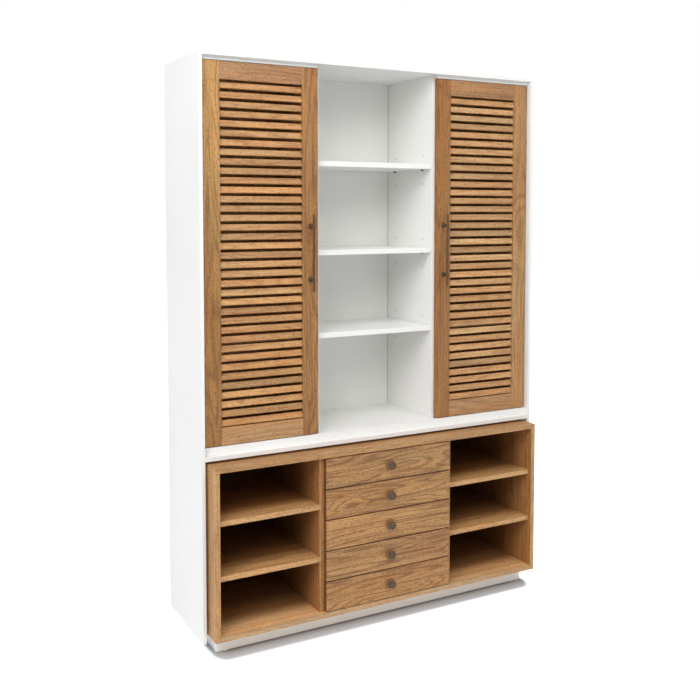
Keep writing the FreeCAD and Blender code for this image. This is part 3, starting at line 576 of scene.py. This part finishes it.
# How a node's name starts and ends, and its finish; the first row that fits counts
FINISHES = (
    ("", "_knob", "knob_bronze"),
    ("", "_handle", "bronze"),
    ("shelf_pins", "", "dark_steel"),
    ("hinge_arms", "", "steel"),
    ("", "_cups", "steel"),
    ("glides", "", "plastic"),
    ("drawer_runners", "", "timber"),
    ("drawer_", "_box", "timber"),
    ("drawer_", "_front", "drawer"),
    ("left_", "_hinge_stile", "hinge_stile"),
    ("right_", "_hinge_stile", "right_stile"),
    ("left_", "_lock_stile", "lock_stile"),
    ("right_", "_lock_stile", "right_lock_stile"),
    ("", "_top_rail", "top_rail"),
    ("", "_bottom_rail", "low_rail"),
    ("left_", "_slats", "slat"),
    ("right_", "_slats", "right_slat"),
    ("oak_back", "", "box_back"),
    ("oak_top", "", "box_top"),
    ("oak_bottom", "", "box_foot"),
    ("left_oak_shelf", "", "box_x"),
    ("right_oak_shelf", "", "box_x"),
    ("", "_oak_side", "box_z"),
    ("", "_oak_partition", "box_z"),
    ("", "_upper_side", "closet"),
    ("", "_partition", "closet"),
    ("upper_back", "", "closet"),
    ("top_panel", "", "closet"),
    ("upper_floor", "", "closet"),
    ("closet_shelves", "", "veneer"),
    ("", "", "white"),
)


def finish_of(name):
    """The finish of a CAD node."""
    return next(finish for start, end, finish in FINISHES
                if name.startswith(start) and name.endswith(end))


def give_finish(piece, name):
    """Give a piece the material of a CAD node's finish."""
    piece.data.materials.clear()
    piece.data.materials.append(MATERIALS[finish_of(name)])


for node_name, node in nodes.items():
    give_finish(node, node_name)

record = frame["record"]
BODY = {node: body for body, members in record["behaviour"]["bodies"].items() for node in members}


# Pieces of the cabinet
RIGHT, FRONT, UP = Vector((1, 0, 0)), Vector((0, -1, 0)), Vector((0, 0, 1))
SMOOTH_ANGLE = math.radians(35)
BEVEL_ANGLE = math.radians(30)
BEVEL_SEGMENTS = 2
FLAT_ANGLE = math.radians(1)
# Vertices nearer than this are one, in a CAD board and in a joined piece
WELD = 0.00001
SEAM = 0.000005


def select_only(*things):
    """Select these objects alone; the last one is the active one."""
    bpy.ops.object.select_all(action="DESELECT")
    for thing in things:
        thing.select_set(True)
    bpy.context.view_layer.objects.active = things[-1]


def open_mesh():
    """Edit the active piece with its whole mesh selected."""
    bpy.ops.object.mode_set(mode="EDIT")
    bpy.ops.mesh.select_all(action="SELECT")


def close_mesh():
    bpy.ops.object.mode_set(mode="OBJECT")


def stand_for(piece, name):
    """Put a finished piece in a CAD node's stead."""
    give_finish(piece, name)
    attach(piece, BODY[name])
    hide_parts(name)


def apply_modifier(piece, modifier):
    select_only(piece)
    bpy.ops.object.modifier_apply(modifier=modifier.name)


def bevel(piece, width):
    """Ease the sharp edges of a piece."""
    modifier = piece.modifiers.new("Eased edges", "BEVEL")
    modifier.width = width
    modifier.segments = BEVEL_SEGMENTS
    modifier.limit_method = "ANGLE"
    modifier.angle_limit = BEVEL_ANGLE
    apply_modifier(piece, modifier)


def bevelled_block(middle, size, width):
    """A block with small rounds along its edges."""
    bpy.ops.object.select_all(action="DESELECT")
    bpy.ops.mesh.primitive_cube_add(size=1, location=middle, scale=size)
    piece = bpy.context.active_object
    bpy.ops.object.transform_apply(location=True, rotation=True, scale=True)
    bevel(piece, width)
    return piece


def turned(name, start, way, profile, sides):
    """A round solid drawn out of a disc; each ring is its reach along the way and its radius."""
    reach, radius = profile[0]
    bpy.ops.object.select_all(action="DESELECT")
    turn = way.to_track_quat("Z", "Y").to_euler()
    bpy.ops.mesh.primitive_circle_add(vertices=sides, radius=radius, fill_type="NGON",
                                      location=start + way * reach, rotation=turn)
    piece = bpy.context.active_object
    piece.name = name
    open_mesh()
    for next_reach, next_radius in profile[1:]:
        step = way * (next_reach - reach)
        bpy.ops.mesh.extrude_region_move(TRANSFORM_OT_translate={"value": step})
        size = (next_radius / radius,) * 3
        bpy.ops.transform.resize(value=size, center_override=start + way * next_reach)
        reach, radius = next_reach, next_radius
    bpy.ops.mesh.select_all(action="SELECT")
    bpy.ops.mesh.normals_make_consistent(inside=False)
    close_mesh()
    bpy.ops.object.transform_apply(location=True, rotation=True, scale=True)
    bpy.ops.object.shade_smooth_by_angle(angle=SMOOTH_ANGLE)
    return piece


def copy_moved(piece, name, shift, mirror=False):
    """A copy with its own mesh, moved; a mirrored one is turned left to right first."""
    twin = piece.copy()
    twin.data = piece.data.copy()
    twin.name = name
    scene.collection.objects.link(twin)
    twin.location = shift
    if mirror:
        twin.scale.x = -1
    select_only(twin)
    bpy.ops.object.transform_apply(location=True, rotation=False, scale=True)
    if mirror:
        open_mesh()
        bpy.ops.mesh.normals_make_consistent(inside=False)
        close_mesh()
    return twin


def united(piece, other):
    """One closed skin round two overlapping solids."""
    modifier = piece.modifiers.new("United", "BOOLEAN")
    modifier.operation = "UNION"
    modifier.object = other
    apply_modifier(piece, modifier)
    bpy.data.objects.remove(other)
    open_mesh()
    bpy.ops.mesh.remove_doubles(threshold=SEAM)
    bpy.ops.mesh.dissolve_degenerate(threshold=SEAM)
    close_mesh()


def joined(pieces, name):
    """The pieces as one object; each stays a closed solid of its own."""
    select_only(*pieces[::-1])
    bpy.ops.object.join()
    piece = bpy.context.active_object
    piece.name = name
    return piece


# Rounds along the edges of boards by finish, and of the rest
EASE = {
    "white": 0.0006, "closet": 0.0006, "slat": 0.0007, "right_slat": 0.0007,
    "drawer": 0.0012, "box_x": 0.0012, "box_z": 0.0012, "box_top": 0.0012, "box_foot": 0.0012,
}
PLAIN_EASE = 0.0008
REMADE = ("shelf_pins", "glides", "plinth")
KEPT_OR_TURNED = ("_knob", "_handle", "_cups")


def eased_board(name):
    """A board with small rounds along its edges."""
    piece = bpy.data.objects.new(f"{name}_eased", nodes[name].data.copy())
    scene.collection.objects.link(piece)
    select_only(piece)
    bpy.ops.mesh.customdata_custom_splitnormals_clear()
    open_mesh()
    bpy.ops.mesh.remove_doubles(threshold=WELD)
    bpy.ops.mesh.dissolve_limited(angle_limit=FLAT_ANGLE)
    bpy.ops.mesh.faces_shade_flat()
    close_mesh()
    bevel(piece, EASE.get(finish_of(name), PLAIN_EASE))
    stand_for(piece, name)


def boards():
    for name in sorted(nodes):
        if name not in REMADE and not name.endswith(KEPT_OR_TURNED):
            eased_board(name)


def middle_of(name):
    low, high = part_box(name)
    return (low + high) / 2


# Knobs: reach from the drawer face and radius, in metres
KNOB = (
    (0.0, 0.019), (0.0005, 0.0198), (0.0012, 0.02), (0.0017, 0.0196), (0.002, 0.0186),
    (0.002, 0.0078), (0.0032, 0.0066), (0.0062, 0.0054), (0.0095, 0.0054), (0.0122, 0.0066),
    (0.0138, 0.0092), (0.0148, 0.0126), (0.0158, 0.0137), (0.0175, 0.014), (0.0195, 0.0139),
    (0.0212, 0.0132), (0.0222, 0.0122), (0.0226, 0.011), (0.0221, 0.0103), (0.0221, 0.0095),
    (0.0228, 0.0088), (0.0236, 0.006), (0.024, 0.0025),
)
KNOB_SIDES = 40
DRAWERS = 5


def knobs():
    first = middle_of("drawer_1_knob")
    start = Vector((0.0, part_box("drawer_1_front")[0][1], first.z))
    pieces = [turned("drawer_1_turned_knob", start, FRONT, KNOB, KNOB_SIDES)]
    for number in range(2, DRAWERS + 1):
        rise = middle_of(f"drawer_{number}_knob").z - first.z
        pieces.append(copy_moved(pieces[0], f"drawer_{number}_turned_knob", (0, 0, rise)))
    for number, piece in enumerate(pieces, 1):
        stand_for(piece, f"drawer_{number}_knob")


# Door handles: a bar with a collar at each post, and posts with a stepped foot
BAR = 0.004
COLLAR = 0.0055
POST_SPAN = 0.186
HANDLE_SIDES = 24
BAR_END = ((0.0, 0.0018), (0.0006, 0.003), (0.0016, 0.0037), (0.003, BAR))
COLLAR_RINGS = (
    (-0.0055, BAR), (-0.005, COLLAR - 0.0003), (-0.0045, COLLAR),
    (0.0045, COLLAR), (0.005, COLLAR - 0.0003), (0.0055, BAR),
)
POST_FOOT = (
    (0.0, 0.0095), (0.0004, 0.01), (0.0018, 0.01), (0.0024, 0.0096), (0.003, 0.0084),
    (0.003, 0.0062), (0.0042, 0.0048), (0.0062, 0.0036), (0.0085, 0.003), (0.02, 0.003),
    (0.0235, 0.0034), (0.027, 0.0034),
)


def handles():
    name = "left_door_handle"
    low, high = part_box(name)
    door_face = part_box("left_door_lock_stile")[0][1]
    x = (low.x + high.x) / 2
    middle = (low.z + high.z) / 2
    length = high.z - low.z
    rings = list(BAR_END)
    for post in (length / 2 - POST_SPAN / 2, length / 2 + POST_SPAN / 2):
        rings += [(post + reach, radius) for reach, radius in COLLAR_RINGS]
    rings += [(length - reach, radius) for reach, radius in BAR_END[::-1]]
    foot = Vector((x, low.y + BAR, low.z))
    bar = turned("left_door_bar_handle", foot, UP, rings, HANDLE_SIDES)
    for side in (-1, 1):
        start = Vector((x, door_face, middle + side * POST_SPAN / 2))
        united(bar, turned("post", start, FRONT, POST_FOOT, HANDLE_SIDES))
    select_only(bar)
    bpy.ops.object.shade_smooth_by_angle(angle=SMOOTH_ANGLE)
    twin = copy_moved(bar, "right_door_bar_handle", (-2 * x, 0, 0))
    stand_for(bar, name)
    stand_for(twin, "right_door_handle")


def plinth():
    """Four boards that touch; each stays a closed solid of its own."""
    low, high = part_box("plinth")
    depths = sorted({round(vertex.co.y, 5) for vertex in nodes["plinth"].data.vertices})
    thick = depths[1] - depths[0]
    inner_front, inner_back = low.y + thick, high.y - thick
    corners = (
        ((low.x, low.y), (high.x, inner_front)),
        ((low.x, inner_back), (high.x, high.y)),
        ((low.x, inner_front), (low.x + thick, inner_back)),
        ((high.x - thick, inner_front), (high.x, inner_back)),
    )
    pieces = []
    for first, last in corners:
        near, far = Vector((*first, low.z)), Vector((*last, high.z))
        pieces.append(bevelled_block((near + far) / 2, far - near, PLAIN_EASE))
    stand_for(joined(pieces, "plinth_eased"), "plinth")


# Shelf supports: a pin with a collar at the panel and a flat tongue under the shelf
SUPPORT = (
    (-0.0078, 0.0016), (-0.0074, 0.0023), (0.0001, 0.0023), (0.0001, 0.0038), (0.0004, 0.0041),
    (0.0014, 0.0041), (0.0017, 0.0038), (0.0017, 0.0024), (0.0092, 0.0024), (0.0098, 0.0018),
)
PIN_RADIUS = 0.0025
SUPPORT_SIDES = 20
TONGUE_PLACE = Vector((0.0072, 0, 0.0018))
TONGUE_SIZE = (0.011, 0.009, 0.0012)
TONGUE_EASE = 0.0004


def shelf_support(start):
    """One support that points right from a panel's face, its top at the shelf."""
    pin = turned("support", start, RIGHT, SUPPORT, SUPPORT_SIDES)
    united(pin, bevelled_block(start + TONGUE_PLACE, TONGUE_SIZE, TONGUE_EASE))
    return pin


def shelf_supports():
    """Supports at both walls of each closet and of the open bay, alike on the left and right."""
    side_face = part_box("left_upper_side")[1][0]
    partition_low, partition_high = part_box("left_partition")
    pins_low, pins_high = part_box("shelf_pins")
    rows = (pins_low.y + PIN_RADIUS, pins_high.y - PIN_RADIUS)
    shelves = [f"middle_shelf_{shelf}" for shelf in ("low", "mid", "high")]
    heights = [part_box(shelf)[0][2] - PIN_RADIUS for shelf in shelves]
    faces = ((side_face, True), (partition_low[0], False), (partition_high[0], True))
    first = Vector((side_face, rows[0], heights[0]))
    model = shelf_support(first)
    pieces = []
    for height in heights:
        for row in rows:
            for face, points_right in faces:
                for x, mirror in ((face, not points_right), (-face, points_right)):
                    shift = Vector((x, row, height)) - first
                    if mirror:
                        shift.x = x + first.x
                    pieces.append(copy_moved(model, "support", shift, mirror))
    bpy.data.objects.remove(model)
    stand_for(joined(pieces, "shelf_supports"), "shelf_pins")


# Glides: rings from the floor up to the plinth
GLIDE = ((0.0, 0.0066), (0.0003, 0.0074), (0.001, 0.008), (0.004, 0.008))
GLIDE_SIDES = 32


def glides():
    low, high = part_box("glides")
    radius = GLIDE[-1][1]
    start = Vector((low.x + radius, low.y + radius, low.z))
    pieces = [turned("plinth_glides", start, UP, GLIDE, GLIDE_SIDES)]
    across = high.x - low.x - 2 * radius
    back = high.y - low.y - 2 * radius
    for shift in ((across, 0, 0), (0, back, 0), (across, back, 0)):
        pieces.append(copy_moved(pieces[0], "glide", shift))
    stand_for(joined(pieces, "plinth_glides"), "glides")


boards()
knobs()
handles()
plinth()
shelf_supports()
glides()

# Camera, from straight lines of the cabinet in the photograph
CAMERA_PLACE = (-1.6977, -2.9967, 1.4835)
CAMERA_DROP, CAMERA_TURN = 3.136, -28.698
SENSOR, LENS, LENS_SHIFT = 36.0, 47.266, -0.1257
SIGHT = 50.0


def camera():
    data = bpy.data.cameras.new("Camera")
    data.sensor_width = SENSOR
    data.lens = LENS
    data.shift_y = LENS_SHIFT
    data.clip_end = SIGHT
    thing = bpy.data.objects.new("Camera", data)
    thing.location = CAMERA_PLACE
    thing.rotation_euler = (math.radians(90 - CAMERA_DROP), 0.0, math.radians(CAMERA_TURN))
    scene.collection.objects.link(thing)
    scene.camera = thing


# Lamps: name, place, target, size, watts and colour
LAMPS = (
    ("Key", (-3.0, -2.4, 3.4), (0.0, 0.0, 1.1), (2.4, 2.4), 105.0, (0.99, 0.98, 1.0)),
    ("Side", (-2.8, -0.3, 3.2), (-0.7, 0.0, 1.6), (1.8, 1.8), 12.0, (0.95, 0.97, 1.0)),
    ("Overhead", (0.4, -2.6, 3.6), (0.0, 0.0, 0.8), (3.0, 2.0), 50.0, (1.0, 1.0, 1.0)),
)


def area_light(name, place, target, size, power, colour):
    data = bpy.data.lights.new(name, "AREA")
    data.shape = "RECTANGLE"
    data.size, data.size_y = size
    data.energy = power
    data.color = colour
    thing = bpy.data.objects.new(name, data)
    thing.location = place
    aim = Vector(target) - Vector(place)
    thing.rotation_euler = aim.to_track_quat("-Z", "Y").to_euler()
    scene.collection.objects.link(thing)


def seen_by_eye(tree):
    """1 for what the camera sees straight, in a reflection or through glass."""
    rays = put(tree, "ShaderNodeLightPath")
    seen = maths(tree, "MAXIMUM", rays.outputs["Is Camera Ray"], rays.outputs["Is Glossy Ray"])
    return maths(tree, "MAXIMUM", seen, rays.outputs["Is Transmission Ray"])


# The light that comes from all round, at the horizon and how much more from above
AMBIENT, AMBIENT_RISE = 0.235, 0.36


def surroundings():
    """A white world for the eye, and soft light for the cabinet."""
    world = bpy.data.worlds.new("Studio")
    scene.world = world
    world.use_nodes = True
    tree = world.node_tree
    background = next(node for node in tree.nodes if node.type == "BACKGROUND")
    fill(background, {"Color": (1, 1, 1, 1)})
    way = put(tree, "ShaderNodeTexCoord").outputs["Generated"]
    up = maths(tree, "MAXIMUM", axes(tree, way)["Z"], 0.0)
    seen = seen_by_eye(tree)
    light = maths(tree, "MULTIPLY_ADD", up, AMBIENT_RISE, AMBIENT)
    light = maths(tree, "MULTIPLY", light, opposite(tree, seen))
    join(tree, maths(tree, "ADD", light, seen), background.inputs["Strength"])


# The floor's tones: far from the plinth, painted shade near it, painted shadow where they touch,
# and for the light's rays
FLOOR, NEAR_SHADE_TONE, CONTACT_SHADOW_TONE = (0.9, 0.93, 0.96), (0.49, 0.53, 0.57), (0.3, 0.31, 0.32)
LIT_FLOOR = (0.79, 0.815, 0.84)
FLOOR_SIZE, FLOOR_ROUGH = 30.0, 0.9
# Glow of the floor near the plinth for the light's rays: painted light in place of light bounced
# from the floor
BOUNCE_GLOW = 0.18
# Distances from the plinth between which each tone fades
CONTACT_FADE, NEAR_FADE = (0.0, 0.012), (0.045, 0.08)
WHITE_FADE, BOUNCE_FADE = (0.055, 0.09), (0.1, 0.2)
plinth_low, plinth_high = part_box("plinth")
PLINTH_REACH = (plinth_high.x - 0.03, -plinth_low.y, 0.0)
RING_SHAPE = (1.5, 1, 1)


def floor():
    """A pale floor with painted shadow near the plinth, on top of the lamps' shadow, that turns
    white away from it; near the plinth it glows for the light's rays, painted light in place of
    bounce.
    """
    bpy.ops.mesh.primitive_plane_add(size=FLOOR_SIZE, location=(0, 0, 0))
    ground = bpy.context.active_object
    ground.name = "Floor"
    material, tree, shader, place = new_material("Pale floor")
    fill(shader, {"Roughness": FLOOR_ROUGH, "Specular IOR Level": 0.0})
    fill(shader, {"Emission Color": (1, 1, 1, 1)})
    away = vector_maths(tree, "ABSOLUTE", place)
    away = vector_maths(tree, "SUBTRACT", away, PLINTH_REACH)
    away = vector_maths(tree, "MAXIMUM", away, (0, 0, 0))
    away = vector_maths(tree, "MULTIPLY", away, RING_SHAPE)
    away = vector_maths(tree, "LENGTH", away)
    seen = seen_by_eye(tree)
    # Painted shadow on the floor near the plinth, darkest where they touch
    contact_shadow = opposite(tree, window(tree, away, *CONTACT_FADE))
    near = opposite(tree, window(tree, away, *NEAR_FADE))
    tone = blend_colours(tree, near, FLOOR, NEAR_SHADE_TONE)
    tone = blend_colours(tree, contact_shadow, tone, CONTACT_SHADOW_TONE)
    tone = blend_colours(tree, seen, LIT_FLOOR, tone)
    join(tree, tone, shader.inputs["Base Color"])
    white_out = maths(tree, "MULTIPLY", window(tree, away, *WHITE_FADE), seen)
    # Painted light: near the plinth the floor glows for the light's rays
    bounce = opposite(tree, window(tree, away, *BOUNCE_FADE))
    unseen_bounce = maths(tree, "MULTIPLY_ADD", seen, -BOUNCE_GLOW, BOUNCE_GLOW)
    bounce = maths(tree, "MULTIPLY", bounce, unseen_bounce)
    join(tree, maths(tree, "ADD", white_out, bounce), shader.inputs["Emission Strength"])
    ground.data.materials.append(material)


camera()
surroundings()
floor()
for lamp in LAMPS:
    area_light(*lamp)
